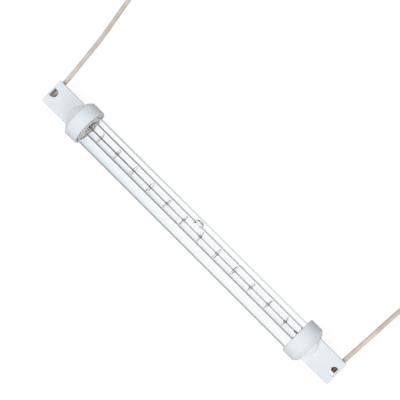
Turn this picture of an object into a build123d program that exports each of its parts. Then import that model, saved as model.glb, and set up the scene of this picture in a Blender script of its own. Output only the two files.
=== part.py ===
from build123d import *
import math
import os

# A twin-walled quartz heating lamp that lies on the collars of its two ceramic end caps.
# X runs along the tube, both leads leave toward +Y, and Z = 0 is the surface it lies on.

# Driving dimensions, in millimetres
mouth_to_mouth = 179.0

# Ceramic end caps
cap_length = 33.4
collar_diameter = 25.4
collar_length = 8.9
collar_chamfer = 2.4
shoulder_rounding = 0.7
body_width = 16.8
body_thickness = 10.0
dome_radius = 10.3
dome_centre = 96.2
dome_end = 106.0
dome_blend = 0.8
mouth_rounding = 0.8
edge_rounding = 0.9
end_rounding = 0.6
socket_diameter = 22.2
socket_depth = 8.5
slot_width = 13.0
slot_height = 4.0
slot_depth = 22.0
window_width = 5.6
window_length = 4.5
window_edge = 0.85
window_rounding = 0.2
passage_height = 3.4
lead_hole_diameter = 3.7
lead_hole_edge = 2.35

# Outer quartz tube, which sits a little to one side in the caps
jacket_diameter = 20.4
jacket_wall = 1.25
jacket_seat = 7.0
jacket_offset = -0.75
jacket_rounding = 0.3
cement_inset = 1.1

# Inner quartz tube, pinched flat and sealed at both ends
lamp_diameter = 10.0
lamp_wall = 1.0
lamp_offset = 0.75
neck_start = 87.5
neck_length = 5.0
wedge_length = 3.4
wedge_gap = 0.5
pinch_width = 10.8
pinch_thickness = 2.8
pinch_end = 109.5
pinch_rib = 0.4
tip_centre = 0.5
tip_reach = 7.1
tip_base_radius = 3.5
tip_top_radius = 2.2
tip_lean = 20.0

# Filament, its wire supports and the wires sealed into the pinches
filament_diameter = 1.2
filament_half = 86.6
filament_offset = 0.55
support_count = 12
first_support = -80.2
support_pitch = 14.48
support_diameter = 7.4
support_wire = 0.34
support_hub_length = 1.1
pin_diameter = 1.3
foil_start = 96.0
foil_length = 11.0
foil_width = 4.0
foil_thickness = 0.1
contact_diameter = 1.0

# Crimp sleeves, pressed flat, in which each contact wire meets its lead
crimp_x = 119.9
crimp_thickness = 2.5
crimp_squeeze = 0.25
strand_diameter = 1.5
left_crimp_width = 4.2
left_crimp_ends = (-2.6, 2.5)
right_crimp_width = 3.0
right_crimp_ends = (-0.85, 2.75)

# Braided leads, the coils of their spare length and their ring terminals
lead_diameter = 2.9
coil_turns_across = 2
left_coil_diameter = 29.0
right_coil_diameter = 31.0
left_coil_centre = (-149.9, 86.4)
right_coil_centre = (141.35, 70.0)
tail_length = 17.5
tail_height = 2.0
barrel_diameter = 4.0
barrel_length = 6.0
barrel_grip = 4.5
tongue_thickness = 0.8
eye_diameter = 7.4
eye_hole = 4.3
eye_distance = 5.4

# Places worked out from the dimensions above
axis_height = collar_diameter / 2
mouth = mouth_to_mouth / 2
cap_end = mouth + cap_length
hole_x = cap_end - lead_hole_edge
lead_radius = lead_diameter / 2

# Route of each lead from its crimp to the coil of its spare length, as x, y, z
left_route = [
    (-120.87, 2.5, 12.7),
    (-120.87, 9.0, 12.7),
    (-123.2, 29.0, 11.3),
    (-125.7, 43.0, 7.4),
    (-129.1, 57.0, 3.2),
    (-132.4, 72.5, 1.6),
    (-134.0, 87.0, 1.5),
]
right_route = [
    (120.15, 2.75, 12.7),
    (120.15, 9.0, 12.7),
    (121.7, 30.0, 11.2),
    (122.4, 43.5, 7.0),
    (123.5, 56.5, 2.6),
    (124.4, 69.0, 1.5),
]


def rod(start, end, radius, y=0.0, z=axis_height):
    """A round bar along X from start to end."""
    return Pos((start + end) / 2, y, z) * Rot(0, 90, 0) * Cylinder(radius, end - start)


def cross_rod(x, start, end, radius, z=axis_height):
    """A round bar along Y from start to end."""
    return Pos(x, (start + end) / 2, z) * Rot(90, 0, 0) * Cylinder(radius, end - start)


def block(start, end, width, height, y=0.0):
    """A square-edged block along X from start to end, centred on the lamp's height."""
    return Pos((start + end) / 2, y, axis_height) * Box(end - start, width, height)


def turned(points):
    """A solid turned about the lamp's axis from (x, radius) points."""
    outline = make_face(Polyline(*[(x, 0, radius) for x, radius in points], close=True))
    return Pos(0, 0, axis_height) * revolve(outline, Axis.X)


def mirrored(solid):
    """The same piece at the other end of the lamp."""
    return mirror(solid, about=Plane.YZ)


def dome():
    """The ball-shaped hub that the collar runs out in, square-ended inside the cap."""
    start = mouth + collar_length
    middle = (start + dome_end) / 2
    over = [(x, 0, math.sqrt(dome_radius**2 - (x - dome_centre) ** 2)) for x in (start, middle, dome_end)]
    below = Polyline(over[2], (dome_end, 0, 0), (start, 0, 0), over[0])
    outline = make_face(Curve() + [ThreePointArc(*over), below])
    return Pos(0, 0, axis_height) * revolve(outline, Axis.X)


def flats(cap):
    """The flat faces under and on top of a cap's body."""
    level = cap.faces().filter_by(Axis.Z).sort_by(Axis.Z)
    return [level[0], level[-1]]


def end_cap():
    """The right-hand cap: a chamfered collar, a dome that runs out on the flats, and a flat body."""
    radius = collar_diameter / 2
    shoulder = mouth + collar_length + collar_chamfer
    collar = turned([
        (mouth, 0),
        (mouth, radius),
        (mouth + collar_length, radius),
        (shoulder, radius - collar_chamfer),
        (shoulder, 0),
    ])
    rim = collar.faces().filter_by(Axis.X).sort_by(Axis.X)[0].edges()
    collar = fillet(rim, mouth_rounding)
    shoulder_edge = collar.faces().filter_by(Axis.X).sort_by(Axis.X)[-1].edges()
    collar = fillet(shoulder_edge, shoulder_rounding)
    body = block(mouth + collar_length, cap_end, body_width, body_thickness)
    body = fillet(body.edges().filter_by(Axis.X), edge_rounding)
    body = fillet(body.faces().sort_by(Axis.X)[-1].edges(), end_rounding)
    cap = collar + body + dome()
    seams = [edge for flat in flats(cap) for edge in flat.edges().filter_by(GeomType.CIRCLE)]
    cap = fillet(seams, dome_blend)
    cap -= rod(mouth, mouth + socket_depth, socket_diameter / 2)
    cap -= block(mouth + socket_depth, mouth + slot_depth, slot_width, slot_height)
    cap -= window()
    rims = [edge for flat in flats(cap) for wire in flat.inner_wires() for edge in wire.edges()]
    cap = fillet(rims, window_rounding)
    return cap - cross_rod(hole_x, 0, body_width, lead_hole_diameter / 2)


def window():
    """The D-shaped opening through both flats, and the passage to it from the pinch slot."""
    flat_side = cap_end - window_edge
    half = window_width / 2
    centre = flat_side - window_length + half
    outline = Pos(centre, 0) * Circle(half)
    outline &= Pos(flat_side - window_width, 0) * Rectangle(2 * window_width, 2 * window_width)
    outline += Pos((centre + flat_side) / 2, 0) * Rectangle(flat_side - centre, window_width)
    opening = Pos(0, 0, axis_height) * extrude(outline, body_thickness, both=True)
    return opening + block(mouth + slot_depth, flat_side, window_width, passage_height)


def jacket():
    """The outer quartz tube, with fire-rounded ends."""
    half = mouth + jacket_seat
    tube = rod(-half, half, jacket_diameter / 2, jacket_offset)
    tube -= rod(-half, half, jacket_diameter / 2 - jacket_wall, jacket_offset)
    ends = tube.edges().filter_by(GeomType.CIRCLE)
    return fillet(ends, jacket_rounding)


def section(x, outline):
    """A flat outline set square across the inner tube at x."""
    across = Plane(origin=(x, lamp_offset, axis_height), x_dir=(0, 1, 0), z_dir=(1, 0, 0))
    return across * outline


def pinched_end():
    """The right-hand end of the inner tube: the neck and the flat pinch with its edge ribs."""
    neck_end = neck_start + neck_length
    round_end = section(neck_start, Circle(lamp_diameter / 2))
    flat_end = section(neck_end, SlotOverall(pinch_width, pinch_thickness))
    neck = loft([round_end, flat_end])
    press = section(neck_end, SlotOverall(pinch_width, pinch_thickness))
    flat = extrude(press, pinch_end - neck_end, dir=(1, 0, 0))
    land = pinch_width - 3 * pinch_thickness
    for side in (-1, 1):
        level = side * (pinch_thickness / 2)
        trough = Box(pinch_end - neck_end - 3, land, pinch_rib)
        flat -= Pos((pinch_end + neck_end) / 2, lamp_offset, axis_height + level) * trough
    return neck + flat


def exhaust_tip():
    """The low blob on the inner tube where the pumping stem was melted off."""
    skin = lamp_diameter / 2 - lamp_wall / 2
    stem = Polyline(
        (0, skin),
        (tip_base_radius, skin),
        (tip_top_radius + 0.3, skin + 0.45 * (tip_reach - skin)),
        (tip_top_radius - 0.2, tip_reach - 0.6),
        (tip_top_radius - 1.2, tip_reach),
        (0, tip_reach),
        close=True,
    )
    blob = revolve(make_face(Plane.XZ * stem), Axis.Z)
    turn = Pos(tip_centre, lamp_offset, axis_height) * Rot(tip_lean - 90, 0, 0)
    return turn * blob


def lamp_tube(sealed_in):
    """The inner quartz tube, with its bore closing to a wedge and room for what is sealed in."""
    radius = lamp_diameter / 2
    bore = radius - lamp_wall
    tube = rod(-neck_start, neck_start, radius, lamp_offset)
    tube += exhaust_tip()
    tube += pinched_end() + mirrored(pinched_end())
    tube -= rod(-neck_start, neck_start, bore, lamp_offset)
    wide = section(neck_start, Circle(bore))
    thin = section(neck_start + wedge_length, Ellipse(bore, wedge_gap / 2))
    wedge = loft([wide, thin])
    tube -= [wedge, mirrored(wedge), *sealed_in]
    return tube


def support():
    """One wire support: a ring that touches the tube, a spoke, and turns about the filament."""
    ring_radius = support_diameter / 2 - support_wire / 2
    hole = filament_diameter / 2
    wire = Rot(0, 0, 45) * Rectangle(support_wire, support_wire)
    ring = revolve(Plane.XZ * Pos(0, ring_radius) * wire, Axis.X)
    hub = Rot(0, 90, 0) * Cylinder(hole + support_wire, support_hub_length)
    spoke = Pos(0, 0, -(ring_radius + hole) / 2)
    spoke *= Box(support_wire, support_wire, ring_radius - hole)
    shape = ring + spoke + hub - Rot(0, 90, 0) * Cylinder(hole, 2 * support_hub_length)
    return shape


def crimp(x, width, ends):
    """A sleeve across the cap, pressed flat and dented, with the lead's strands in its bore."""
    start, end = ends
    length = end - start
    outline = Plane(origin=(x, start, axis_height), x_dir=(1, 0, 0), z_dir=(0, 1, 0))
    sleeve = extrude(outline * SlotOverall(width, crimp_thickness), length, dir=(0, 1, 0))
    for side in (-1, 1):
        for place in (0.25, 0.75):
            dent = Pos(x, start + place * length, axis_height + side * crimp_thickness / 2)
            sleeve -= dent * Box(2 * width, length / 6, 2 * crimp_squeeze)
    strands = cross_rod(x, start + 0.6, end, strand_diameter / 2)
    return sleeve - strands, strands


def cord_path(name, route):
    """Straight runs joined by arcs as large as their runs allow, and a print of the radii."""
    points = [Vector(*point) for point in route]
    runs = [b - a for a, b in zip(points, points[1:])]
    radii = []
    for before, after in zip(runs, runs[1:]):
        half_turn = math.radians(before.get_angle(after)) / 2
        radii.append(0.45 * min(before.length, after.length) / math.tan(half_turn))
    print(name, "radii", [round(radius, 1) for radius in radii])
    return FilletPolyline(*points, radius=radii)


def lead(name, route, coil):
    """The braided lead from its crimp to where it meets its coil."""
    path = cord_path(name, route)
    start = Plane(path @ 0, z_dir=path % 0)
    tube = sweep(start * Circle(lead_radius), path)
    ideal = math.pi * lead_radius**2 * path.length
    print(name, "length", round(path.length, 1), "volume share", round(tube.volume / ideal, 4))
    return tube - coil


def coil_and_tail(centre, diameter, side):
    """The outer shape of the wound spare length, with the tail that leads to the terminal."""
    half = coil_turns_across * lead_radius
    height = lead_diameter * (1 + math.sqrt(3) / 2)
    ring = Cylinder(diameter / 2 + half, height) - Cylinder(diameter / 2 - half, height)
    ring = Pos(centre[0], centre[1], height / 2) * ring
    tail_x = centre[0] + side * diameter / 2
    tail = cross_rod(tail_x, centre[1] - tail_length, centre[1] - 6, lead_radius, tail_height)
    return ring + tail


def terminal(centre, diameter, side):
    """A ring terminal: a barrel on the lead's end, and a tongue with a round eye."""
    x = centre[0] + side * diameter / 2
    lead_end = centre[1] - tail_length
    open_end = lead_end + barrel_grip
    closed_end = open_end - barrel_length
    eye_y = closed_end - eye_distance
    barrel = cross_rod(x, closed_end, open_end, barrel_diameter / 2, tail_height)
    tongue = Pos(x, (eye_y + closed_end + 2) / 2) * Rectangle(barrel_diameter, closed_end + 2 - eye_y)
    tongue += Pos(x, eye_y) * Circle(eye_diameter / 2)
    tongue -= Pos(x, eye_y) * Circle(eye_hole / 2)
    whole = barrel + extrude(tongue, tongue_thickness)
    return whole - cross_rod(x, lead_end, open_end, lead_radius, tail_height)


def build():
    """Every piece of the lamp by name."""
    pieces = {}
    foil_end = foil_start + foil_length
    pin = rod(filament_half, foil_start, pin_diameter / 2, filament_offset)
    foil = block(foil_start, foil_end, foil_width, foil_thickness, filament_offset)
    contact = rod(foil_end, crimp_x, contact_diameter / 2, filament_offset)
    cap = end_cap()
    pieces["end_cap_right"] = cap
    pieces["end_cap_left"] = mirrored(cap)
    pieces["filament"] = rod(-filament_half, filament_half, filament_diameter / 2, filament_offset)
    crimps = (
        ("left", -1, left_crimp_width, left_crimp_ends),
        ("right", 1, right_crimp_width, right_crimp_ends),
    )
    for place, sign, width, ends in crimps:
        sleeve, strands = crimp(sign * crimp_x, width, ends)
        hull = block(crimp_x - width / 2, crimp_x, body_width, crimp_thickness)
        if sign < 0:
            hull = mirrored(hull)
        pieces[f"filament_pin_{place}"] = pin if sign > 0 else mirrored(pin)
        pieces[f"sealing_foil_{place}"] = foil if sign > 0 else mirrored(foil)
        pieces[f"contact_pin_{place}"] = (contact if sign > 0 else mirrored(contact)) - hull
        pieces[f"crimp_sleeve_{place}"] = sleeve
        pieces[f"lead_strands_{place}"] = strands
    sealed = [pieces[f"{name}_{place}"] for name in ("filament_pin", "sealing_foil", "contact_pin")
              for place in ("left", "right")]
    inner = lamp_tube(sealed)
    outer = jacket()
    pieces["inner_tube"] = inner
    pieces["outer_tube"] = outer
    filling = rod(mouth + cement_inset, mouth + socket_depth, socket_diameter / 2)
    jacket_space = rod(-mouth - jacket_seat, mouth + jacket_seat, jacket_diameter / 2, jacket_offset)
    pinch_space = pinched_end()
    pieces["cement_right"] = filling - jacket_space - pinch_space
    pieces["cement_left"] = mirrored(filling) - jacket_space - mirrored(pinch_space)
    for index in range(support_count):
        place = Pos(first_support + index * support_pitch, filament_offset, axis_height)
        turn = Rot(40 + 67 * index, 0, 0)
        pieces[f"support_ring_{index + 1:02d}"] = place * turn * support()
    left_coil = coil_and_tail(left_coil_centre, left_coil_diameter, -1)
    right_coil = coil_and_tail(right_coil_centre, right_coil_diameter, 1)
    pieces["lead_coil_left"] = left_coil
    pieces["lead_coil_right"] = right_coil
    pieces["lead_left"] = lead("left lead", left_route, left_coil)
    pieces["lead_right"] = lead("right lead", right_route, right_coil)
    pieces["terminal_left"] = terminal(left_coil_centre, left_coil_diameter, -1)
    pieces["terminal_right"] = terminal(right_coil_centre, right_coil_diameter, 1)
    return pieces


os.makedirs("parts", exist_ok=True)
for name, piece in build().items():
    export_step(piece, f"parts/{name}.step")
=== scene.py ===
"""A quartz heating tube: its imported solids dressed, and set on a plain bright table.

Lengths inside the lamp's classes are millimetres and become metres in the meshes. X runs
along the tube, both leads leave toward +Y, and Z = 0 is the table.
"""

import logging
import math
from dataclasses import dataclass
from enum import Enum
from typing import Sequence

import bpy
from bpy.types import Material, Mesh, Node, NodeSocket, NodeTree, Object
from mathutils import Matrix, Vector


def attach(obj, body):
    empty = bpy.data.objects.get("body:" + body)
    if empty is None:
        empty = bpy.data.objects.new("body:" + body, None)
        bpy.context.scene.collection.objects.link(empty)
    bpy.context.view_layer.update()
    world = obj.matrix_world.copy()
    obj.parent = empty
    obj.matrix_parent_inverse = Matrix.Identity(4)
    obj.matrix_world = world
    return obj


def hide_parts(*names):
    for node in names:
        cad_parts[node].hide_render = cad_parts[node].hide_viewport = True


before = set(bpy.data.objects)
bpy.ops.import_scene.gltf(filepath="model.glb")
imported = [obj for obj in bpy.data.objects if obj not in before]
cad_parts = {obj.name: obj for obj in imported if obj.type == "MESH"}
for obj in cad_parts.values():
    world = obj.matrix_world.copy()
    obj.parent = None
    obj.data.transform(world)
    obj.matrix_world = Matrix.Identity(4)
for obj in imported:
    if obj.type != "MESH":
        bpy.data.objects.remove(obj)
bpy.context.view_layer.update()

log = logging.getLogger("lamp")

MM = 0.001
BODY = "root"
AXIS_HEIGHT = 12.7
QUARTZ_IOR = 1.458
LIT_QUARTZ = (0.97, 0.98, 0.985, 1.0)
WHITE = (1.0, 1.0, 1.0, 1.0)
Point = tuple[float, float, float]
CLEAR_QUARTZ: Point = (0.998, 0.999, 1.0)


class End(Enum):
    """The two ends of the lamp, with the sign of their X."""

    LEFT = -1
    RIGHT = 1

    @property
    def label(self) -> str:
        """The word that ends the names of this end's pieces."""
        return self.name.lower()


def ramp(value: float, start: float, end: float) -> float:
    """How far a value has come from start to end, from 0 to 1."""
    return min(max((value - start) / (end - start), 0.0), 1.0)


def eased(share: float) -> float:
    """A share with a soft start and a soft end."""
    return share * share * (3 - 2 * share)


def between(start: float, end: float, share: float) -> float:
    """The value that lies at a share of the way."""
    return start + (end - start) * share


def circle(x: float, radius: float, offset: float, sides: int) -> list[Point]:
    """A round ring at x about an axis that lies off the caps' own in Y."""
    turns = [2 * math.pi * step / sides for step in range(sides)]
    return [(x, offset - radius * math.sin(turn), AXIS_HEIGHT + radius * math.cos(turn)) for turn in turns]


def linked(name: str, data: bpy.types.ID) -> Object:
    """Makes an object round some data and links it to the scene."""
    holder = bpy.data.objects.new(name, data)
    bpy.context.scene.collection.objects.link(holder)
    return holder


def drawn(source: Object) -> Mesh:
    """A new mesh of an object as Blender draws it."""
    graph = bpy.context.evaluated_depsgraph_get()
    return bpy.data.meshes.new_from_object(source.evaluated_get(graph), depsgraph=graph)


class NodeBook:
    """Writes nodes into a tree and wires their inputs.

    Args:
        tree: The node tree that is written.
    """

    def __init__(self, tree: NodeTree) -> None:
        """Keeps the tree."""
        self.tree = tree

    def feed(self, socket: NodeSocket, source: object) -> None:
        """Links a socket or a node's first output to an input, or sets the input's value.

        Args:
            socket: The input to fill.
            source: A socket, a node or a plain value.
        """
        if isinstance(source, Node):
            source = source.outputs[0]
        if isinstance(source, NodeSocket):
            self.tree.links.new(source, socket)
        else:
            socket.default_value = source

    def add(self, kind: str, inputs: dict | None = None, **settings: object) -> Node:
        """Adds a node.

        Args:
            kind: The node's type name.
            inputs: What goes into each named or numbered input.
            settings: The node's own settings.

        Returns:
            The new node.
        """
        node = self.tree.nodes.new(kind)
        for name, value in settings.items():
            setattr(node, name, value)
        for name, source in (inputs or {}).items():
            self.feed(node.inputs[name], source)
        return node

    def math(self, operation: str, *values: object) -> NodeSocket:
        """Adds a Math node and returns its result."""
        node = self.add("ShaderNodeMath", dict(enumerate(values)), operation=operation)
        return node.outputs[0]

    def vector(self, operation: str, *values: object, output: str = "Vector") -> NodeSocket:
        """Adds a Vector Math node and returns one of its results."""
        node = self.add("ShaderNodeVectorMath", dict(enumerate(values)), operation=operation)
        return node.outputs[output]

    def scaled(self, direction: object, factor: object) -> NodeSocket:
        """A vector times a number."""
        node = self.add("ShaderNodeVectorMath", {0: direction, "Scale": factor}, operation="SCALE")
        return node.outputs["Vector"]

    def seen(self) -> NodeSocket:
        """1 for the rays that the camera, gloss and glass send, and 0 for the light on the object."""
        rays = self.add("ShaderNodeLightPath").outputs
        direct = self.math("MAXIMUM", rays["Is Camera Ray"], rays["Is Glossy Ray"])
        return self.math("MAXIMUM", direct, rays["Is Transmission Ray"])


class ShaderBook(NodeBook):
    """A new material and its node tree.

    Args:
        name: The material's name.
    """

    def __init__(self, name: str) -> None:
        """Makes the material with an empty tree."""
        self.material = bpy.data.materials.new(name)
        self.material.use_nodes = True
        super().__init__(self.material.node_tree)
        self.tree.nodes.clear()
        self.place = self.add("ShaderNodeTexCoord").outputs["Object"]

    def noise(self, scale: float, detail: float = 3.0, roughness: float = 0.5,
              place: object = None) -> NodeSocket:
        """Noise over the piece, about 0.5.

        Args:
            scale: Cells per metre.
            detail: Octaves.
            roughness: Share of the finer octaves.
            place: Coordinates, where they aren't the piece's own.

        Returns:
            The noise's value.
        """
        inputs = {"Vector": place or self.place, "Scale": scale, "Detail": detail, "Roughness": roughness}
        return self.add("ShaderNodeTexNoise", inputs).outputs["Fac"]

    def ranged(self, value: object, low: float, high: float, start: float = 0.0,
               end: float = 1.0) -> NodeSocket:
        """A value from low to high, carried smoothly over to start to end."""
        inputs = {"Value": value, "From Min": low, "From Max": high, "To Min": start, "To Max": end}
        node = self.add("ShaderNodeMapRange", inputs, interpolation_type="SMOOTHSTEP")
        return node.outputs["Result"]

    def blend(self, share: object, first: Sequence[float], second: Sequence[float]) -> NodeSocket:
        """A colour between two colours or sockets.

        Args:
            share: How much of the second shows.
            first: The colour at 0.
            second: The colour at 1.

        Returns:
            The colour's socket.
        """
        colours = [colour if isinstance(colour, NodeSocket) else (*colour, 1.0) for colour in (first, second)]
        node = self.add("ShaderNodeMix", data_type="RGBA")
        for number, source in zip((0, 6, 7), (share, *colours)):
            self.feed(node.inputs[number], source)
        return node.outputs[2]

    def bump(self, height: object, depth: float) -> NodeSocket:
        """A bumped normal from a height, with its depth in millimetres."""
        inputs = {"Height": height, "Distance": depth * MM, "Strength": 1.0}
        return self.add("ShaderNodeBump", inputs).outputs["Normal"]

    def finish(self, surface: object) -> Material:
        """Puts the surface into the output and returns the material."""
        self.add("ShaderNodeOutputMaterial", {"Surface": surface})
        return self.material

    def coated(self, inputs: dict) -> Material:
        """Ends the material in a principled surface with the given inputs."""
        return self.finish(self.add("ShaderNodeBsdfPrincipled", inputs))

    def glazed(self, tint: object) -> Material:
        """Ends the material in clear quartz that lets the lamps' light through.

        Args:
            tint: The colour that light takes at the surface.

        Returns:
            The material.
        """
        glass = self.add("ShaderNodeBsdfPrincipled", {
            "Base Color": tint,
            "Transmission Weight": 1.0,
            "Roughness": 0.0,
            "IOR": QUARTZ_IOR,
        })
        lit_through = self.add("ShaderNodeBsdfTransparent", {"Color": LIT_QUARTZ})
        shadow = self.add("ShaderNodeLightPath").outputs["Is Shadow Ray"]
        return self.finish(self.add("ShaderNodeMixShader", {0: shadow, 1: glass, 2: lit_through}))


@dataclass(frozen=True)
class CeramicFinish:
    """White steatite, pressed and fired without glaze."""

    name: str = "steatite"
    pale: Point = (0.80, 0.84, 0.875)
    dull: Point = (0.785, 0.825, 0.862)
    speck: Point = (0.62, 0.61, 0.58)
    grain_depth: float = 0.02

    def build(self) -> Material:
        """Makes the material."""
        book = ShaderBook(self.name)
        clouds = book.noise(70.0, detail=4.0)
        grain = book.noise(2600.0, detail=2.0)
        specks = book.ranged(book.noise(900.0, detail=1.0), 0.72, 0.80, 0.0, 0.3)
        base = book.blend(book.ranged(clouds, 0.35, 0.65), self.pale, self.dull)
        return book.coated({
            "Base Color": book.blend(specks, base, self.speck),
            "Roughness": book.ranged(grain, 0.3, 0.7, 0.5, 0.66),
            "Specular IOR Level": 0.3,
            "Normal": book.bump(grain, self.grain_depth),
        })


@dataclass(frozen=True)
class CementFinish:
    """The fine pale cement that holds the tubes."""

    name: str = "cement"
    sand: Point = (0.93, 0.91, 0.86)
    shade: Point = (0.83, 0.80, 0.74)
    lump_depth: float = 0.06

    def build(self) -> Material:
        """Makes the material."""
        book = ShaderBook(self.name)
        lumps = book.noise(900.0, detail=4.0, roughness=0.6)
        return book.coated({
            "Base Color": book.blend(book.ranged(lumps, 0.4, 0.62), self.shade, self.sand),
            "Roughness": 0.9,
            "Specular IOR Level": 0.2,
            "Normal": book.bump(lumps, self.lump_depth),
        })


@dataclass(frozen=True)
class EdgeTint:
    """Painted reflection on one side of a tube: the grey of dark surroundings, which the real walls reflect
    edge-on, painted in from the tube's middle to its edge.

    Args:
        wall: The painted dark colour where the wall is seen edge-on.
        haze: The faint painted grey that the side takes before that.
        kept: How much of the painted wall colour is left past the tube's middle.
    """

    wall: Point
    haze: Point
    kept: float


@dataclass(frozen=True)
class QuartzFinish:
    """Clear fused quartz, with painted reflection: the grey of dark surroundings, which the real walls
    reflect edge-on, is painted into its colour, darker on the left side, fading along X.

    Lamps shine through it onto the filament, as they do through the real tube.

    Args:
        name: The material's name.
        left: The painted reflection on the side away from the leads.
        right: The painted reflection on the side of the leads.
        wall_start: How far the surface is turned away where the painted wall colour starts.
        wall_full: The same where it is full.
        haze_full: The same where the faint painted grey is full.
        middle: The tube's own Y, in millimetres, where the two sides meet.
        calm: The X near the left mouth up to which the painted reflection is left out, as the real walls
            reflect the pale cement there.
        clear: The colour of the glass between the edges.
        fade_start: The X where the painted colours start to fade.
        fade_end: The X from which they are at their faintest.
        fade: How much of the faint painted grey is left there.
        calm_blend: Half the length over which the painted colours set in at the calm X.
        side_blend: Half the width over which the two sides blend.
        least_across: The least share, squared, that the view across the tube counts with.
    """

    name: str
    left: EdgeTint
    right: EdgeTint
    wall_start: float
    wall_full: float
    haze_full: float
    middle: float
    calm: float
    clear: Point = CLEAR_QUARTZ
    fade_start: float = -90.0
    fade_end: float = 25.0
    fade: float = 0.42
    calm_blend: float = 0.5
    side_blend: float = 3.0
    least_across: float = 0.01

    def turned_away(self, book: ShaderBook) -> NodeSocket:
        """How far the wall is turned away across the tube, whatever the slant along it."""
        facing = book.add("ShaderNodeLayerWeight", {"Blend": 0.5}).outputs["Facing"]
        axis = book.add("ShaderNodeCombineXYZ", {"X": 1.0})
        along = book.add("ShaderNodeLayerWeight", {"Blend": 0.5, "Normal": axis}).outputs["Facing"]
        slant = book.math("SUBTRACT", 1.0, along)
        squared = book.math("MULTIPLY_ADD", slant, book.math("MULTIPLY", slant, -1.0), 1.0)
        across = book.math("SQRT", book.math("MAXIMUM", squared, self.least_across))
        share = book.math("DIVIDE", book.math("SUBTRACT", 1.0, facing), across)
        return book.math("MAXIMUM", book.math("SUBTRACT", 1.0, share), 0.0)

    def build(self) -> Material:
        """Makes the material."""
        book = ShaderBook(self.name)
        left, right = self.left, self.right
        turned = self.turned_away(book)
        x, y, _ = book.add("ShaderNodeSeparateXYZ", {0: book.place}).outputs
        # Painted reflection: the walls' grey is painted in by how far they turn away across the tube, by side
        # (darker on the left) and along X, and left out at the left mouth.
        faded = book.ranged(x, self.fade_start * MM, self.fade_end * MM)
        shown = book.ranged(x, (self.calm - self.calm_blend) * MM, (self.calm + self.calm_blend) * MM)
        side = book.ranged(y, (self.middle - self.side_blend) * MM, (self.middle + self.side_blend) * MM)
        lost = book.math("MULTIPLY_ADD", side, left.kept - right.kept, 1.0 - left.kept)
        kept = book.math("SUBTRACT", 1.0, book.math("MULTIPLY", faded, lost))
        edges = book.math("MULTIPLY", shown, kept)
        strength = book.math("MULTIPLY_ADD", faded, self.fade - 1.0, 1.0)
        painted_haze_share = book.math("MINIMUM", book.math("DIVIDE", turned, self.haze_full), 1.0)
        painted_haze_share = book.math("MULTIPLY", painted_haze_share, book.math("MULTIPLY", shown, strength))
        wall = book.math("MULTIPLY", edges, book.ranged(turned, self.wall_start, self.wall_full))
        body = book.blend(painted_haze_share, self.clear, book.blend(side, left.haze, right.haze))
        return book.glazed(book.blend(wall, body, book.blend(side, left.wall, right.wall)))


@dataclass(frozen=True)
class BoreFinish:
    """The inside of a quartz tube, clear unless another colour is given."""

    name: str = "quartz_bore"
    clear: Point = CLEAR_QUARTZ

    def build(self) -> Material:
        """Makes the material."""
        return ShaderBook(self.name).glazed((*self.clear, 1.0))


@dataclass(frozen=True)
class MetalFinish:
    """A bare metal with a heat tint in patches.

    Args:
        name: The material's name.
        bright: The clean metal.
        tint: The metal where heat has coloured it.
        tinted: The noise level above which the tint is full, lower for more of it.
        polish: The roughness of the cleanest places.
        patch: Patches per metre.
        soot: The colour of the dull dark film in some places.
        sooty: How much of the metal the film covers at most.
    """

    name: str
    bright: Point
    tint: Point
    tinted: float = 0.6
    polish: float = 0.28
    patch: float = 500.0
    soot: Point = (0.10, 0.09, 0.08)
    sooty: float = 0.2

    def build(self) -> Material:
        """Makes the material."""
        book = ShaderBook(self.name)
        patches = book.noise(self.patch)
        film = book.noise(self.patch * 1.7, detail=4.0, roughness=0.6)
        fine = book.noise(6000.0, detail=2.0)
        metal = book.blend(book.ranged(patches, self.tinted - 0.15, self.tinted), self.bright, self.tint)
        return book.coated({
            "Base Color": book.blend(book.ranged(film, 0.45, 0.62, 0.0, self.sooty), metal, self.soot),
            "Metallic": 1.0,
            "Roughness": book.ranged(film, 0.3, 0.7, self.polish, self.polish + 0.25),
            "Normal": book.bump(fine, 0.01),
        })


@dataclass(frozen=True)
class CoilFinish:
    """The filament's tungsten, dark at the left end and paler toward the middle.

    Args:
        name: The material's name.
        dark: The colour at the left end.
        pale: The colour past the middle.
        start: The X where it starts to turn paler, in millimetres.
        end: The X from which it is pale.
        stray: How far patches shift those places, in metres.
    """

    name: str = "coil_tungsten"
    dark: Point = (0.01, 0.01, 0.014)
    pale: Point = (0.76, 0.76, 0.78)
    start: float = -70.0
    end: float = 2.0
    stray: float = 0.02

    def build(self) -> Material:
        """Makes the material."""
        book = ShaderBook(self.name)
        x = book.add("ShaderNodeSeparateXYZ", {0: book.place}).outputs["X"]
        patches = book.noise(300.0)
        place = book.math("ADD", x, book.math("MULTIPLY_ADD", patches, self.stray, -self.stray / 2))
        paled = book.ranged(place, self.start * MM, self.end * MM)
        return book.coated({
            "Base Color": book.blend(paled, self.dark, self.pale),
            "Metallic": 1.0,
            "Roughness": book.ranged(patches, 0.3, 0.7, 0.25, 0.45),
        })


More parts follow.
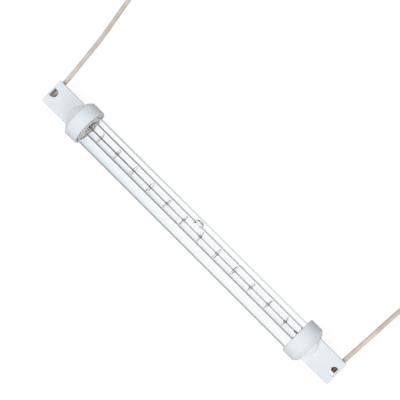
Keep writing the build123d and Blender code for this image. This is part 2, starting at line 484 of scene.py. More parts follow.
@dataclass(frozen=True)
class CrimpFinish:
    """A crimped sleeve, stained brown round the place where it was welded.

    Args:
        name: The material's name.
        weld: The weld's X and Y, in millimetres.
        stain: The colour at the weld.
        rim: The dark colour round it.
        plain: The sleeve's own colour, further away.
        reach: How far the stain goes, in millimetres.
        uneven: How much its edge wavers, in shares of that reach.
    """

    name: str
    weld: tuple[float, float]
    stain: Point
    rim: Point
    plain: Point
    reach: float = 0.9
    uneven: float = 1.6

    def build(self) -> Material:
        """Makes the material."""
        book = ShaderBook(self.name)
        flat = book.vector("MULTIPLY", book.place, (1.0, 1.0, 0.0))
        centre = (self.weld[0] * MM, self.weld[1] * MM, 0.0)
        distance = book.vector("DISTANCE", flat, centre, output="Value")
        distance = book.math("DIVIDE", distance, self.reach * MM)
        patches = book.noise(900.0, roughness=0.6)
        wavering = book.math("MULTIPLY_ADD", patches, self.uneven, -self.uneven / 2)
        distance = book.math("ADD", distance, wavering)
        inner = book.blend(book.ranged(distance, 0.3, 0.8), self.stain, self.rim)
        return book.coated({
            "Base Color": book.blend(book.ranged(distance, 1.1, 1.8), inner, self.plain),
            "Metallic": 0.45,
            "Roughness": book.ranged(patches, 0.3, 0.7, 0.3, 0.6),
            "Normal": book.bump(patches, 0.05),
        })


@dataclass(frozen=True)
class YarnFinish:
    """Braided glass yarn with a beige varnish, its fibres fine lines along each yarn, with painted shade in
    the low places between the fibres.
    """

    name: str = "glass_yarn"
    varnish: Point = (0.72, 0.63, 0.55)
    bare: Point = (0.83, 0.76, 0.69)
    gap: Point = (0.42, 0.34, 0.28)
    fibre_depth: float = 0.02
    stretch: Point = (0.8, 5.0, 1.0)

    def build(self) -> Material:
        """Makes the material."""
        book = ShaderBook(self.name)
        along = book.add("ShaderNodeAttribute", attribute_name="along").outputs["Fac"]
        across = book.add("ShaderNodeAttribute", attribute_name="across").outputs["Fac"]
        spot = book.add("ShaderNodeCombineXYZ", {"X": along, "Y": across})
        streaks = book.vector("MULTIPLY", spot, self.stretch)
        fibres = book.noise(1.0, roughness=0.6, place=streaks)
        soaked = book.noise(160.0)
        base = book.blend(book.ranged(soaked, 0.35, 0.7), self.varnish, self.bare)
        return book.coated({
            # Painted shade: the low places of the fibre bump are darkened toward a dark brown.
            "Base Color": book.blend(book.ranged(fibres, 0.35, 0.6, 0.25, 0.0), base, self.gap),
            "Roughness": 0.62,
            "Specular IOR Level": 0.35,
            "Sheen Weight": 0.12,
            "Normal": book.bump(fibres, self.fibre_depth),
        })


@dataclass(frozen=True)
class TableFinish:
    """A white table that stays white to the eye and to glass, and still takes a soft shadow.

    Args:
        name: The material's name.
        glow: The strength of its own white where it is seen.
        paper: The grey that takes the shadow there.
        bounce: The grey that sends light up to the object.
    """

    name: str = "table"
    glow: float = 0.90
    paper: float = 0.15
    bounce: float = 0.14

    def build(self) -> Material:
        """Makes the material."""
        book = ShaderBook(self.name)
        paper = book.add("ShaderNodeBsdfDiffuse", {"Color": (self.paper,) * 3 + (1.0,)})
        glow = book.add("ShaderNodeEmission", {"Color": WHITE, "Strength": self.glow})
        shown = book.add("ShaderNodeAddShader", {0: paper, 1: glow})
        hidden = book.add("ShaderNodeBsdfDiffuse", {"Color": (self.bounce,) * 3 + (1.0,)})
        return book.finish(book.add("ShaderNodeMixShader", {0: book.seen(), 1: hidden, 2: shown}))


class GeometryBook(NodeBook):
    """A Geometry Nodes tree with named sizes, and the plain mesh that it makes.

    Args:
        name: The tree's name.
        from_shape: True where the tree starts from the object's own shape.
    """

    def __init__(self, name: str, from_shape: bool = False) -> None:
        """Makes the tree with its input and output."""
        super().__init__(bpy.data.node_groups.new(name, "GeometryNodeTree"))
        self.values: dict[str, object] = {}
        if from_shape:
            self.tree.interface.new_socket("Shape", in_out="INPUT", socket_type="NodeSocketGeometry")
        self.tree.interface.new_socket("Result", in_out="OUTPUT", socket_type="NodeSocketGeometry")
        self.entry = self.add("NodeGroupInput")

    def size(self, name: str, value: float | int) -> NodeSocket:
        """Adds a named input, of whole numbers where the value is one.

        Args:
            name: The input's name.
            value: The value that the modifier gives it.

        Returns:
            The socket that carries it in the tree.
        """
        kind = "NodeSocketInt" if isinstance(value, int) else "NodeSocketFloat"
        socket = self.tree.interface.new_socket(name, in_out="INPUT", socket_type=kind)
        self.values[socket.identifier] = value
        return self.entry.outputs[name]

    def carried(self, curve: object, section: object) -> Node:
        """A section carried along a curve, with its ends closed."""
        inputs = {"Curve": curve, "Profile Curve": section, "Fill Caps": True}
        return self.add("GeometryNodeCurveToMesh", inputs)

    def swept(self, curve: object, wire: object, sides: int) -> Node:
        """A round wire of a radius and a number of sides along a curve."""
        section = self.add("GeometryNodeCurvePrimitiveCircle", {"Resolution": sides, "Radius": wire})
        return self.carried(curve, section)

    def noted(self, shape: object, name: str, value: object) -> Node:
        """The shape with a number written on its points, for its finish to read."""
        return self.add("GeometryNodeStoreNamedAttribute", {"Geometry": shape, "Name": name, "Value": value})

    def moved(self, shape: object, turn: Point, place: object = (0.0, 0.0, 0.0)) -> Node:
        """The shape turned by angles about X, Y and Z, then moved."""
        inputs = {"Geometry": shape, "Rotation": turn, "Translation": place}
        return self.add("GeometryNodeTransform", inputs)

    def joined(self, *shapes: object) -> Node:
        """Several shapes as one."""
        node = self.add("GeometryNodeJoinGeometry")
        for shape in shapes:
            self.feed(node.inputs[0], shape)
        return node

    def made(self, name: str, shape: object, material: Material, source: Object | None = None) -> Object:
        """Ends the tree, runs it and keeps its result as a plain mesh.

        Args:
            name: The new piece's name.
            shape: What the tree gives.
            material: The piece's finish.
            source: The object that the tree starts from, which goes once it has run.

        Returns:
            The new piece.
        """
        real = self.add("GeometryNodeRealizeInstances", {0: shape})
        smooth = self.add("GeometryNodeSetShadeSmooth", {0: real})
        coated = self.add("GeometryNodeSetMaterial", {0: smooth, "Material": material})
        self.add("NodeGroupOutput", {0: coated})
        source = source or linked(name + "_seed", bpy.data.meshes.new(name + "_seed"))
        modifier = source.modifiers.new("shape", "NODES")
        modifier.node_group = self.tree
        for identifier, value in self.values.items():
            modifier[identifier] = value
        mesh = drawn(source)
        source.modifiers.remove(modifier)
        mesh.name = name
        bpy.data.objects.remove(source)
        return linked(name, mesh)


class RingMesh:
    """A skin over rings of points, in millimetres, all with the same number of points.

    Args:
        name: The piece's name.
    """

    def __init__(self, name: str) -> None:
        """Starts with no rings."""
        self.name = name
        self.points: list[Point] = []
        self.faces: list[tuple[int, ...]] = []
        self.finishes: list[int] = []

    def tube(self, rings: Sequence[Sequence[Point]], loop: bool = False, inward: bool = False,
             finishes: Sequence[int] = (0,)) -> None:
        """Adds a skin over rings.

        Args:
            rings: The rings, each seen turning the same way from the tube's start.
            loop: True where the last ring joins the first one.
            inward: True for the wall of a hollow. An open tube's ends are closed flat.
            finishes: The number of each row's finish, the last one holding for the rest.
        """
        base = len(self.points)
        count = len(rings[0])
        for ring in rings:
            self.points.extend(ring)
        faces: list[tuple[int, ...]] = []
        for row in range(len(rings) if loop else len(rings) - 1):
            here = base + row * count
            there = base + (row + 1) % len(rings) * count
            for step in range(count):
                after = (step + 1) % count
                faces.append((here + step, here + after, there + after, there + step))
            self.finishes.extend([finishes[min(row, len(finishes) - 1)]] * count)
        if not loop:
            self.finishes.extend([finishes[-1]] * 2)
            faces.append(tuple(base + step for step in reversed(range(count))))
            last = base + (len(rings) - 1) * count
            faces.append(tuple(last + step for step in range(count)))
        self.faces.extend(tuple(reversed(face)) if inward else face for face in faces)

    def build(self, *materials: Material, sharp: float = 40.0) -> Object:
        """Makes the piece, with edges over an angle kept sharp.

        Args:
            materials: The piece's finishes.
            sharp: The angle in degrees.

        Returns:
            The new piece.
        """
        mesh = bpy.data.meshes.new(self.name)
        mesh.from_pydata([tuple(value * MM for value in point) for point in self.points], [], self.faces)
        mesh.shade_smooth()
        mesh.set_sharp_from_angle(angle=math.radians(sharp))
        for material in materials:
            mesh.materials.append(material)
        mesh.polygons.foreach_set("material_index", self.finishes)
        return linked(self.name, mesh)


def dress(stem: str, end: End, material: Material) -> None:
    """Gives one end's CAD node a finish.

    Args:
        stem: The node's name without the end's word.
        end: The end.
        material: The finish.
    """
    name = f"{stem}_{end.label}"
    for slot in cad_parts[name].material_slots:
        slot.material = material
    log.info("%s keeps its solid, in %s", name, material.name)


def settle(piece: Object, slot: str, *replaced: str) -> None:
    """Fixes a finished piece to the lamp.

    Args:
        piece: The piece.
        slot: The record's material slot; not used.
        replaced: The CAD nodes that it stands for.
    """
    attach(piece, BODY)
    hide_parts(*replaced)
    log.info("%s: %d faces, for %s", piece.name, len(piece.data.polygons), ", ".join(replaced))


@dataclass
class OuterTube:
    """The quartz jacket, open at both ends inside the caps."""

    diameter: float = 20.4
    wall: float = 1.25
    half_length: float = 96.5
    offset: float = -0.75
    rounding: float = 0.3
    rounding_steps: int = 5
    skin_depth: float = 0.01
    end_rings: float = 95.5
    middle_rings: float = 30.0
    sides: int = 160

    def profile(self) -> list[tuple[float, float]]:
        """The wall's outline as (x, radius), once round.

        The long faces have rings near their ends, so that their shading stays straight.
        """
        outer = self.diameter / 2
        corners = (
            (self.half_length, outer, 0.0),
            (self.half_length, outer - self.wall, 270.0),
            (-self.half_length, outer - self.wall, 180.0),
            (-self.half_length, outer, 90.0),
        )
        outline = []
        for x, radius, start in corners:
            along = x - math.copysign(self.rounding, x)
            level = radius + (-self.rounding if radius == outer else self.rounding)
            for step in range(self.rounding_steps + 1):
                angle = math.radians(start + 90 - 90 * step / self.rounding_steps)
                out, up = self.rounding * math.cos(angle), self.rounding * math.sin(angle)
                outline.append((along + out, level + up))
            if start in (270.0, 90.0):
                side = math.copysign(1.0, x)
                places = (self.end_rings, self.middle_rings, -self.middle_rings, -self.end_rings)
                outline.extend((side * place, radius) for place in places)
        return outline

    def build(self, quartz: Material, bore: Material) -> None:
        """Turns the outline about the tube's axis.

        Args:
            quartz: The outside's finish.
            bore: The finish of the inside and the ends.
        """
        outline = self.profile()
        outside = self.diameter / 2 - self.skin_depth
        following = outline[1:] + outline[:1]
        finishes = [0 if min(here[1], after[1]) > outside else 1 for here, after in zip(outline, following)]
        rings = [circle(x, radius, self.offset, self.sides) for x, radius in outline]
        skin = RingMesh("quartz_jacket")
        skin.tube(rings, loop=True, finishes=finishes)
        settle(skin.build(quartz, bore), "outer_quartz", "outer_tube")


@dataclass
class LampTube:
    """The inner quartz tube, pinched flat at both ends, with the tip where it was pumped."""

    radius: float = 5.0
    bore: float = 4.0
    offset: float = 0.75
    plain_rings: tuple[float, ...] = (20.0, 45.0, 70.0, 84.0, 87.0, 88.5)
    neck_start: float = 90.1
    neck_end: float = 92.5
    neck_step: float = 0.2
    neck_slant: float = 0.2
    slant_run: tuple[float, float] = (88.1, 89.1)
    pinch_ring: float = 98.0
    pinch_end: float = 109.5
    pinch_half: float = 5.4
    pinch_level: float = 1.4
    squareness: tuple[float, float] = (2.0, 5.0)
    wedge_start: float = 89.3
    wedge_end: float = 90.2
    wedge_steps: int = 6
    slit_end: float = 90.75
    slit_half: float = 3.4
    slit_level: float = 0.1
    tip_centre: float = 0.5
    tip_rise: float = 2.0
    tip_lean: float = 20.0
    tip_slope: tuple[float, float] = (-3.15, -1.6)
    tip_step: tuple[float, float] = (3.35, 2.6)
    tip_side: tuple[float, float] = (3.1, 1.5)
    tip_rough: float = 0.1
    tip_spacing: float = 0.22
    tip_rings: int = 26
    hollow_rise: float = 0.55
    hollow_spread: float = 0.62
    sides: int = 144

    def stations(self, end: float) -> list[float]:
        """Places along X from one end to the other, close together round the tip."""
        span = range(-self.tip_rings, self.tip_rings + 1)
        fine = [self.tip_centre + self.tip_spacing * step for step in span]
        if end < self.neck_end:
            shares = (step / self.wedge_steps for step in range(self.wedge_steps + 1))
            narrowing = [between(self.wedge_start, self.wedge_end, share) for share in shares]
        else:
            count = round((self.neck_end - self.neck_start) / self.neck_step)
            narrowing = [self.neck_start + self.neck_step * step for step in range(count + 1)]
        steps = (*self.plain_rings, *narrowing, self.pinch_ring)
        outer = sorted({x for x in steps if x < end} | {end})
        return [-x for x in reversed(outer)] + fine + outer

    def section(self, x: float) -> tuple[float, float, float]:
        """Half-width, half-height and squareness of the tube's outside at x."""
        pressed = 1 - (1 - ramp(abs(x), self.neck_start, self.neck_end)) ** 2
        half = between(self.radius, self.pinch_half, pressed)
        level = between(self.radius, self.pinch_level, pressed)
        return half, level, between(*self.squareness, pressed)

    def hollow(self, x: float) -> tuple[float, float, float]:
        """Half-width, half-height and squareness of the bore at x."""
        pressed = eased(ramp(abs(x), self.wedge_start, self.wedge_end))
        half = between(self.bore, self.slit_half, pressed)
        return half, between(self.bore, self.slit_level, pressed), self.squareness[0]

    def ring(self, x: float, size: tuple[float, float, float], rise: float, spread: float) -> list[Point]:
        """One ring of the skin.

        Args:
            x: Its place.
            size: Half-width, half-height and squareness.
            rise: How far the tip stands out of it.
            spread: The tip's reach along the tube, in shares of the outside's.

        Returns:
            The ring's points.
        """
        half, level, square = size
        slant = self.neck_slant * ramp(-x, *self.slant_run)
        points = []
        for step in range(self.sides):
            angle = 2 * math.pi * step / self.sides
            across, up = -math.sin(angle), math.cos(angle)
            turn = math.atan2(up, across) - math.radians(self.tip_lean)
            turn = math.atan2(math.sin(turn), math.cos(turn))
            lift = rise * self.blob(x, turn * self.radius, spread)
            y = half * math.copysign(abs(across) ** (2 / square), across) + lift * across
            z = level * math.copysign(abs(up) ** (2 / square), up) + lift * up
            points.append((x + slant * y, self.offset + y, AXIS_HEIGHT + z))
        return points

    def blob(self, x: float, around: float, spread: float) -> float:
        """The tip's lumpy height at a place, about 1 on top: a ramp on one side, a step on the other."""
        along = (x - self.tip_centre) / spread
        length = ramp(along, *(self.tip_slope if along < 0 else self.tip_step))
        foot, top = self.tip_side
        width = eased(ramp(abs(around), foot * spread, top * spread))
        rough = self.tip_rough / spread ** 2
        lumps = 1.0 + rough * math.sin(3.9 * x + 0.7) * math.cos(2.9 * around + 0.4)
        lumps += 0.6 * rough * math.sin(6.1 * x + 1.9 * around)
        return length * width * lumps

    def build(self, quartz: Material, bore: Material, painted_slit_finish: Material) -> None:
        """Makes the tube's outside and its bore.

        Args:
            quartz: The outside's finish.
            bore: The bore's finish.
            painted_slit_finish: The finish of the slits where the bore is pressed shut, nearly black glass as
                a painted dark reflection.
        """
        skin = RingMesh("lamp_tube")
        stations = self.stations(self.pinch_end)
        skin.tube([self.ring(x, self.section(x), self.tip_rise, 1.0) for x in stations])
        places = self.stations(self.slit_end)
        rise = self.hollow_rise * self.tip_rise
        inside = [self.ring(x, self.hollow(x), rise, self.hollow_spread) for x in places]
        skin.tube(inside, inward=True, finishes=(2, *(1,) * (len(places) - 3), 2))
        settle(skin.build(quartz, bore, painted_slit_finish), "inner_quartz", "inner_tube")


@dataclass
class CementFilling:
    """The cement in one end cap: round the jacket's end, behind it and in front of the pinch."""

    end: End
    lamp: LampTube
    jacket: OuterTube
    front: float = 89.85
    front_groove: float = 0.1
    face: float = 89.95
    face_lip: float = 0.1
    face_hollow: float = 0.35
    face_sink: float = 0.12
    face_rows: int = 8
    face_waves: tuple[tuple[float, int, int], ...] = ((0.07, 5, 9), (0.05, 11, -4))
    back: float = 97.98
    neck_depths: tuple[float, ...] = (0.2, 0.8, 1.4, 2.0, 2.6, 3.4)
    radius: float = 11.08
    grip: float = 0.04

    def hole(self, x: float) -> list[Point]:
        """The ring round the lamp tube at x."""
        half, level, square = self.lamp.section(x)
        return self.lamp.ring(x, (half - self.grip, level - self.grip, square), 0.0, 1.0)

    def row(self, outside: Sequence[Point], inside: Sequence[Point], share: float) -> list[Point]:
        """A ring of the uneven front face.

        Args:
            outside: The ring at the jacket.
            inside: The ring at the lamp tube.
            share: Its place between them.

        Returns:
            The ring's points.
        """
        ring = []
        for step, (far, near) in enumerate(zip(outside, inside)):
            turn = 2 * math.pi * step / len(outside)
            lump = sum(rise * math.sin(around * turn + across * share)
                       for rise, around, across in self.face_waves)
            x, y, z = (between(start, end, share) for start, end in zip(far, near))
            ring.append((x + self.face_sink + lump, y, z))
        return ring

    def build(self, cement: Material) -> None:
        """Makes the filling.

        Args:
            cement: The finish.
        """
        around = self.jacket.diameter / 2 - self.grip
        within = self.jacket.diameter / 2 - self.jacket.wall + self.grip
        behind = self.jacket.half_length - self.grip
        offset = self.jacket.offset
        outlines = (
            (self.front, self.radius, 0.0),
            (self.front - self.front_groove, (self.radius + around) / 2, offset / 2),
            (self.front, around, offset),
            (behind, around, offset),
            (behind, within, offset),
            (self.face + self.face_lip, within, offset),
        )
        rings = [circle(*outline, self.lamp.sides) for outline in outlines]
        outside = rings[-1]
        inside = self.hole(self.face - self.face_hollow)
        rings.extend(self.row(outside, inside, row / self.face_rows) for row in range(1, self.face_rows))
        rings.append(inside)
        rings.extend(self.hole(self.face + depth) for depth in self.neck_depths)
        rings.extend((self.hole(self.back), circle(self.back, self.radius, 0.0, self.lamp.sides)))
        if self.end is End.LEFT:
            rings = [[(-x, y, z) for x, y, z in ring] for ring in reversed(rings)]
        skin = RingMesh(f"cement_filling_{self.end.label}")
        skin.tube(list(reversed(rings)), loop=True)
        settle(skin.build(cement), "cement", f"cement_{self.end.label}")


@dataclass
class Filament:
    """The coiled tungsten wire and the wire supports that centre it."""

    outer_diameter: float = 1.08
    wire: float = 0.25
    wire_sides: int = 5
    pitch: float = 0.33
    points_per_turn: int = 12
    half_length: float = 86.6
    offset: float = 0.55
    supports: int = 12
    first_support: float = -80.2
    support_pitch: float = 14.48
    support_diameter: float = 7.4
    support_wire: float = 0.26
    support_sides: int = 6
    loop_length: float = 1.0
    knot_length: float = 0.42
    first_turn: float = 40.0
    turn_step: float = 67.0

    def spiral(self, book: GeometryBook, turns: object, start: object, end: object, height: object,
               resolution: int = 14) -> Node:
        """A spiral along Z whose radius goes from start to end."""
        inputs = {"Resolution": resolution, "Rotations": turns, "Start Radius": start, "End Radius": end,
                  "Height": height}
        return book.add("GeometryNodeCurveSpiral", inputs)

    def coil(self, tungsten: Material) -> None:
        """Winds the filament.

        Args:
            tungsten: The finish.
        """
        book = GeometryBook("filament_coil")
        radius = book.size("Coil radius", (self.outer_diameter - self.wire) / 2 * MM)
        wire = book.size("Wire radius", self.wire / 2 * MM)
        turns = book.size("Turns", 2 * self.half_length / self.pitch)
        height = book.size("Length", 2 * self.half_length * MM)
        wound = self.spiral(book, turns, radius, radius, height, self.points_per_turn)
        start = (-self.half_length * MM, self.offset * MM, AXIS_HEIGHT * MM)
        shape = book.moved(book.swept(wound, wire, self.wire_sides), (0.0, math.pi / 2, 0.0), start)
        settle(book.made("filament_coil", shape, tungsten), "tungsten", "filament")

    def holders(self, tungsten: Material) -> None:
        """Bends and sets the twelve supports.

        Args:
            tungsten: The finish.
        """
        book = GeometryBook("wire_supports")
        wire = book.size("Wire radius", self.support_wire / 2 * MM)
        hub = book.size("Hub radius", (self.outer_diameter + self.support_wire) / 2 * MM)
        ring = book.size("Ring radius", (self.support_diameter - self.support_wire) / 2 * MM)
        length = book.size("Loop length", self.loop_length * MM)
        knot = book.size("Knot length", self.knot_length * MM)
        count = book.size("Supports", self.supports)
        pitch = book.size("Pitch", self.support_pitch * MM)
        half = book.math("MULTIPLY", length, 0.5)
        before = book.math("MULTIPLY", length, -0.5)
        first_knot = book.math("SUBTRACT", before, knot)
        bends = (
            (self.spiral(book, 1.5, hub, hub, knot), 0.5, first_knot),
            (self.spiral(book, 0.25, hub, ring, 0.0), 0.0, before),
            (self.spiral(book, 1.0, ring, ring, length, 48), 0.25, before),
            (self.spiral(book, 0.25, ring, hub, 0.0), 0.25, half),
            (self.spiral(book, 1.5, hub, hub, knot), 0.5, half),
        )
        parts = []
        for curve, turn, level in bends:
            place = book.add("ShaderNodeCombineXYZ", {"Z": level})
            bent = book.moved(curve, (0.0, 0.0, 2 * math.pi * turn), place)
            parts.append(book.swept(bent, wire, self.support_sides))
        one = book.moved(book.joined(*parts), (0.0, math.pi / 2, 0.0))
        first = (self.first_support * MM, self.offset * MM, AXIS_HEIGHT * MM)
        step = book.add("ShaderNodeCombineXYZ", {"X": pitch})
        row = book.add("GeometryNodeMeshLine", {"Count": count, "Start Location": first, "Offset": step})
        index = book.add("GeometryNodeInputIndex")
        turn = book.math("MULTIPLY_ADD", index, math.radians(self.turn_step), math.radians(self.first_turn))
        facing = book.add("ShaderNodeCombineXYZ", {"X": turn})
        inputs = {"Points": row, "Instance": one, "Rotation": facing}
        placed = book.add("GeometryNodeInstanceOnPoints", inputs)
        nodes = [f"support_ring_{number + 1:02d}" for number in range(self.supports)]
        settle(book.made("wire_supports", placed, tungsten), "tungsten", *nodes)


@dataclass
class Lead:
    """One braided lead: its route and the wound spare length, up to the ring terminal.

    The route's points are those of the solid, and the turns and the tail are more points of
    the same line. The bow widens the turns a little, because the spline cuts their corners.
    """

    end: End
    route: tuple[Point, ...]
    coil_centre: tuple[float, float]
    coil_diameter: float
    length: float
    diameter: float = 2.9
    turns: float = 2.5
    points_per_turn: int = 16
    bow: float = 1 / 0.985
    floor_gap: float = 0.05
    climb_height: float = 2.61
    step_in: tuple[float, float] = (0.85, 1.10)
    climb: tuple[float, float] = (1.85, 2.15)
    tail_points: tuple[tuple[float, float], ...] = (
        (4.4, 4.35), (8.0, 4.45), (11.4, 2.0), (14.4, 2.0), (17.5, 2.0))
    strands: int = 8
    lay: float = 9.5
    yarn_width: float = 0.82
    yarn_thickness: float = 0.34
    yarn_step: float = 0.37
    yarn_sides: int = 6
    sunk_share: float = 0.72
    weave_share: float = 0.42
    core_share: float = 0.9
    core_sides: int = 16

    def coil(self) -> list[Point]:
        """The wound turns: one outside, one inside it, and half a turn on top of both."""
        way = -self.end.value
        start = 0.0 if self.end is End.LEFT else math.pi
        half = self.diameter / 2
        points = []
        for step in range(1, round(self.turns * self.points_per_turn) + 1):
            turn = step / self.points_per_turn
            climbed = ramp(turn, *self.climb)
            outward = 1 - 2 * ramp(turn, *self.step_in) + climbed
            reach = self.bow * (self.coil_diameter / 2 + half * outward)
            angle = start + way * 2 * math.pi * turn
            points.append((
                self.coil_centre[0] + reach * math.cos(angle),
                self.coil_centre[1] + reach * math.sin(angle),
                half + self.floor_gap + self.climb_height * eased(climbed),
            ))
        return points

    def tail(self) -> list[Point]:
        """The last points, over the outer turn and down into the terminal."""
        x = self.coil_centre[0] + self.end.value * self.coil_diameter / 2
        return [(x, self.coil_centre[1] - along, level) for along, level in self.tail_points]

    def line(self) -> Object:
        """The lead's centre line as a smooth spline."""
        curve = bpy.data.curves.new(f"lead_line_{self.end.label}", "CURVE")
        curve.dimensions = "3D"
        points = [*self.route, *self.coil(), *self.tail()]
        spline = curve.splines.new("NURBS")
        spline.points.add(len(points) - 1)
        for target, point in zip(spline.points, points):
            target.co = (*(value * MM for value in point), 1.0)
        spline.order_u = 3
        spline.use_endpoint_u = True
        spline.resolution_u = 8
        return linked(curve.name, curve)

    def followed(self, holder: Object) -> list[Point]:
        """Points along the spline, as Blender draws it."""
        mesh = drawn(holder)
        points = [tuple(vertex.co) for vertex in mesh.vertices]
        bpy.data.meshes.remove(mesh)
        return points

    def braid(self, holder: Object, yarn: Material) -> Object:
        """Braids flat yarns round the line, over a plain core.

        Args:
            holder: The centre line.
            yarn: The finish.

        Returns:
            The lead.
        """
        book = GeometryBook(f"braid_{self.end.label}", from_shape=True)
        route = book.entry.outputs["Shape"]
        lay = book.size("Lay", self.lay * MM)
        strands = book.size("Yarns each way", self.strands)
        radius = book.size("Yarn circle", (self.diameter / 2 - self.sunk_share * self.yarn_thickness) * MM)
        weave = book.size("Weave depth", self.yarn_thickness * self.weave_share * MM)
        length = book.add("GeometryNodeCurveLength", {0: route})
        straight = book.add("GeometryNodeCurvePrimitiveLine")
        steps = book.math("DIVIDE", length, self.yarn_step * MM)
        fine = book.add("GeometryNodeResampleCurve", {"Curve": straight, "Count": steps})
        total = book.math("MULTIPLY", strands, 2.0)
        copied = {"Geometry": fine, "Amount": total}
        copies = book.add("GeometryNodeDuplicateElements", copied, domain="SPLINE")
        number = copies.outputs["Duplicate Index"]
        hand = book.math("MULTIPLY_ADD", book.math("MODULO", number, 2.0), 2.0, -1.0)
        place = book.math("FLOOR", book.math("DIVIDE", number, 2.0))
        way = book.add("GeometryNodeSplineParameter").outputs["Factor"]
        distance = book.math("MULTIPLY", way, length)
        turned = book.math("MULTIPLY", book.math("DIVIDE", distance, lay), 2 * math.pi)
        seat = book.math("DIVIDE", book.math("MULTIPLY", place, 2 * math.pi), strands)
        angle = book.math("MULTIPLY_ADD", turned, hand, seat)
        wave = book.math("COSINE", book.math("MULTIPLY", turned, strands))
        lift = book.math("MULTIPLY", book.math("MULTIPLY", wave, hand), weave)
        sample = book.add("GeometryNodeSampleCurve", {"Curves": route, "Length": distance}, mode="LENGTH")
        normal = sample.outputs["Normal"]
        across = book.vector("CROSS_PRODUCT", sample.outputs["Tangent"], normal)
        up = book.scaled(normal, book.math("COSINE", angle))
        out = book.vector("ADD", up, book.scaled(across, book.math("SINE", angle)))
        raised = book.scaled(out, book.math("ADD", radius, lift))
        spot = book.vector("ADD", sample.outputs["Position"], raised)
        yarn_lines = copies.outputs["Geometry"]
        laid = book.add("GeometryNodeSetPosition", {"Geometry": yarn_lines, "Position": spot})
        upright = book.add("GeometryNodeSetCurveNormal", {"Curve": laid, "Normal": out}, mode="FREE")
        upright = book.noted(upright, "along", book.math("DIVIDE", distance, self.yarn_width * MM))
        outline = {"Resolution": self.yarn_sides, "Radius": 1.0}
        section = book.add("GeometryNodeCurvePrimitiveCircle", outline)
        side = book.add("ShaderNodeSeparateXYZ", {0: book.add("GeometryNodeInputPosition")}).outputs["Y"]
        flat = book.add("GeometryNodeTransform", {
            "Geometry": book.noted(section, "across", side),
            "Scale": (self.yarn_thickness / 2 * MM, self.yarn_width / 2 * MM, 1.0),
        })
        yarns = book.carried(upright, flat)
        core_radius = (self.diameter / 2 - self.core_share * self.yarn_thickness) * MM
        core = book.swept(route, core_radius, self.core_sides)
        return book.made(f"braided_lead_{self.end.label}", book.joined(yarns, core), yarn, holder)

    def build(self, yarn: Material) -> None:
        """Args:
            yarn: The braid's finish.
        """
        holder = self.line()
        path = self.followed(holder)
        piece = self.braid(holder, yarn)
        label = self.end.label
        settle(piece, "braid", f"lead_{label}", f"lead_coil_{label}")


LEFT_ROUTE: tuple[Point, ...] = (
    (-120.87, 2.5, 12.7),
    (-120.87, 9.0, 12.7),
    (-123.2, 29.0, 11.3),
    (-125.7, 43.0, 7.4),
    (-129.1, 57.0, 3.2),
    (-132.4, 72.5, 1.6),
    (-134.0, 87.0, 1.5),
)
RIGHT_ROUTE: tuple[Point, ...] = (
    (120.15, 2.75, 12.7),
    (120.15, 9.0, 12.7),
    (121.7, 30.0, 11.2),
    (122.4, 43.5, 7.0),
    (123.5, 56.5, 2.6),
    (124.4, 69.0, 1.5),
)


@dataclass
class Studio:
    """The table, the soft lamps and the camera of the photograph, in metres."""

    eye: Point = (0.101824, 0.013213, 0.838786)
    right: Point = (0.7042, 0.7040, -0.0921)
    up: Point = (-0.6973, 0.7102, 0.0967)
    focal_pixels: float = 1367.86
    frame_pixels: float = 400.0
    sensor: float = 36.0
    ambient: float = 0.57
    table_half: float = 3.0

    def camera(self) -> None:
        """Sets the camera where the photograph was taken."""
        data = bpy.data.cameras.new("photo_camera")
        data.sensor_width = self.sensor
        data.lens = self.focal_pixels / self.frame_pixels * self.sensor
        data.clip_start = 0.01
        data.clip_end = 20.0
        right = Vector(self.right).normalized()
        back = right.cross(Vector(self.up)).normalized()
        turn = Matrix((right, back.cross(right), back)).transposed()
        holder = linked("photo_camera", data)
        holder.matrix_world = Matrix.Translation(self.eye) @ turn.to_4x4()
        bpy.context.scene.camera = holder

    def lamp(self, name: str, place: Point, size: float, power: float) -> None:
        """Hangs a square soft lamp that faces the middle of the table and leaves no glare on the glass.

        Args:
            name: Its name.
            place: Where it hangs.
            size: Its side.
            power: Its power in watts.
        """
        data = bpy.data.lights.new(name, "AREA")
        data.shape = "SQUARE"
        data.size = size
        data.energy = power
        holder = linked(name, data)
        holder.visible_glossy = False
        holder.visible_transmission = False
        aim = Vector(place).to_track_quat("Z", "Y").to_matrix().to_4x4()
        holder.matrix_world = Matrix.Translation(place) @ aim

    def sky(self) -> None:
        """Makes a world that looks white and lights the table softly."""
        world = bpy.data.worlds.new("white_room")
        world.use_nodes = True
        book = NodeBook(world.node_tree)
        book.tree.nodes.clear()
        strength = book.math("MULTIPLY_ADD", book.seen(), 1.0 - self.ambient, self.ambient)
        light = book.add("ShaderNodeBackground", {"Color": WHITE, "Strength": strength})
        book.add("ShaderNodeOutputWorld", {"Surface": light})
        bpy.context.scene.world = world

    def table(self) -> None:
        """Lays the table under the lamp."""
        half = self.table_half
        mesh = bpy.data.meshes.new("table")
        corners = [(-half, -half, 0.0), (half, -half, 0.0), (half, half, 0.0), (-half, half, 0.0)]
        mesh.from_pydata(corners, [], [(0, 1, 2, 3)])
        mesh.materials.append(TableFinish().build())
        top = linked("table", mesh)

    def build(self) -> None:
        """Makes the whole studio."""
        self.camera()
        self.sky()
        self.table()
        self.lamp("key_lamp", place=(-0.3, -0.42, 1.5), size=0.8, power=8.5)
        self.lamp("fill_lamp", place=(1.6, -0.5, 0.9), size=0.7, power=9.5)
        view = bpy.context.scene.view_settings
        view.view_transform = "Standard"
        log.info("studio: camera, two lamps, sky and table")


def build_leads() -> None:
    """Makes both braided leads."""
    yarn = YarnFinish().build()
    Lead(End.LEFT, LEFT_ROUTE, coil_centre=(-149.9, 86.4), coil_diameter=29.0, length=0.328).build(yarn)
    Lead(End.RIGHT, RIGHT_ROUTE, coil_centre=(141.35, 70.0), coil_diameter=31.0, length=0.320).build(yarn)


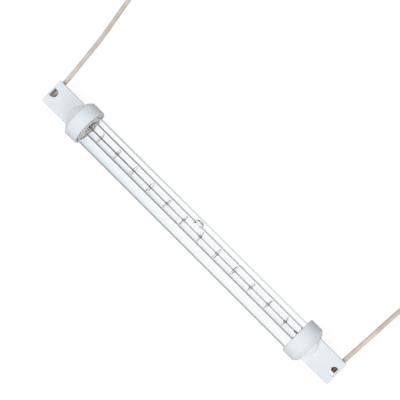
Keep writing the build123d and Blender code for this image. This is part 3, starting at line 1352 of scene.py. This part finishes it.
def build_tubes() -> None:
    """Makes the two quartz tubes and the cement that holds them."""
    bore = BoreFinish().build()
    # The two tubes' edge colours are painted reflection of dark surroundings, darker on the left side.
    jacket = QuartzFinish(
        "jacket_quartz",
        left=EdgeTint(wall=(0.08, 0.13, 0.17), haze=(0.48, 0.58, 0.65), kept=0.95),
        right=EdgeTint(wall=(0.18, 0.24, 0.29), haze=(0.88, 0.90, 0.93), kept=0.62),
        wall_start=0.505,
        wall_full=0.57,
        haze_full=0.50,
        middle=-0.75,
        calm=-88.7,
    )
    bulb = QuartzFinish(
        "lamp_quartz",
        left=EdgeTint(wall=(0.004, 0.015, 0.028), haze=(0.66, 0.73, 0.79), kept=0.93),
        right=EdgeTint(wall=(0.002, 0.009, 0.020), haze=(0.985, 0.99, 0.994), kept=0.85),
        wall_start=0.27,
        wall_full=0.50,
        haze_full=0.24,
        middle=0.75,
        calm=-87.6,
    )
    # The pressed slits are painted nearly black: a painted dark reflection for the dark line that they show.
    painted_slit_finish = BoreFinish("pressed_seam", (0.02, 0.02, 0.025))
    jacket_tube, lamp_tube = OuterTube(), LampTube()
    jacket_tube.build(jacket.build(), bore)
    lamp_tube.build(bulb.build(), bore, painted_slit_finish.build())
    cement = CementFinish().build()
    for end in End:
        CementFilling(end, lamp_tube, jacket_tube).build(cement)


def dress_ends(tungsten: Material) -> None:
    """Dresses the solids that the scene keeps, the same way at both ends apart from the crimps.

    Args:
        tungsten: The finish of the filament's pins.
    """
    molybdenum = MetalFinish("molybdenum", (0.50, 0.49, 0.48), (0.36, 0.33, 0.30))
    nickel = MetalFinish(
        "nickel", (0.66, 0.60, 0.53), (0.30, 0.20, 0.13), tinted=0.55, polish=0.25, patch=700.0).build()
    tin = MetalFinish(
        "tinned_brass", (0.48, 0.47, 0.44), (0.40, 0.35, 0.24), tinted=0.65, polish=0.24, patch=300.0)
    finishes = {
        "filament_pin": tungsten,
        "sealing_foil": molybdenum.build(),
        "contact_pin": nickel,
        "lead_strands": nickel,
        "end_cap": CeramicFinish().build(),
        "terminal": tin.build(),
    }
    crimps = (
        CrimpFinish("crimp_left", (-118.7, -0.6), (0.62, 0.58, 0.48), (0.22, 0.16, 0.12), (0.57, 0.50, 0.43)),
        CrimpFinish("crimp_right", (119.5, 1.6), (0.46, 0.23, 0.14), (0.13, 0.10, 0.08), (0.20, 0.19, 0.17)),
    )
    for end, crimp in zip(End, crimps):
        for stem, material in finishes.items():
            dress(stem, end, material)
        dress("crimp_sleeve", end, crimp.build())


def main() -> None:
    """Builds the studio, then the lamp piece by piece."""
    logging.basicConfig(level=logging.INFO, format="%(name)s: %(message)s")
    Studio().build()
    build_leads()
    tungsten = MetalFinish("tungsten", (0.15, 0.15, 0.17), (0.10, 0.10, 0.11)).build()
    filament = Filament()
    filament.coil(CoilFinish().build())
    filament.holders(tungsten)
    build_tubes()
    dress_ends(tungsten)


if __name__ == "__main__":
    main()
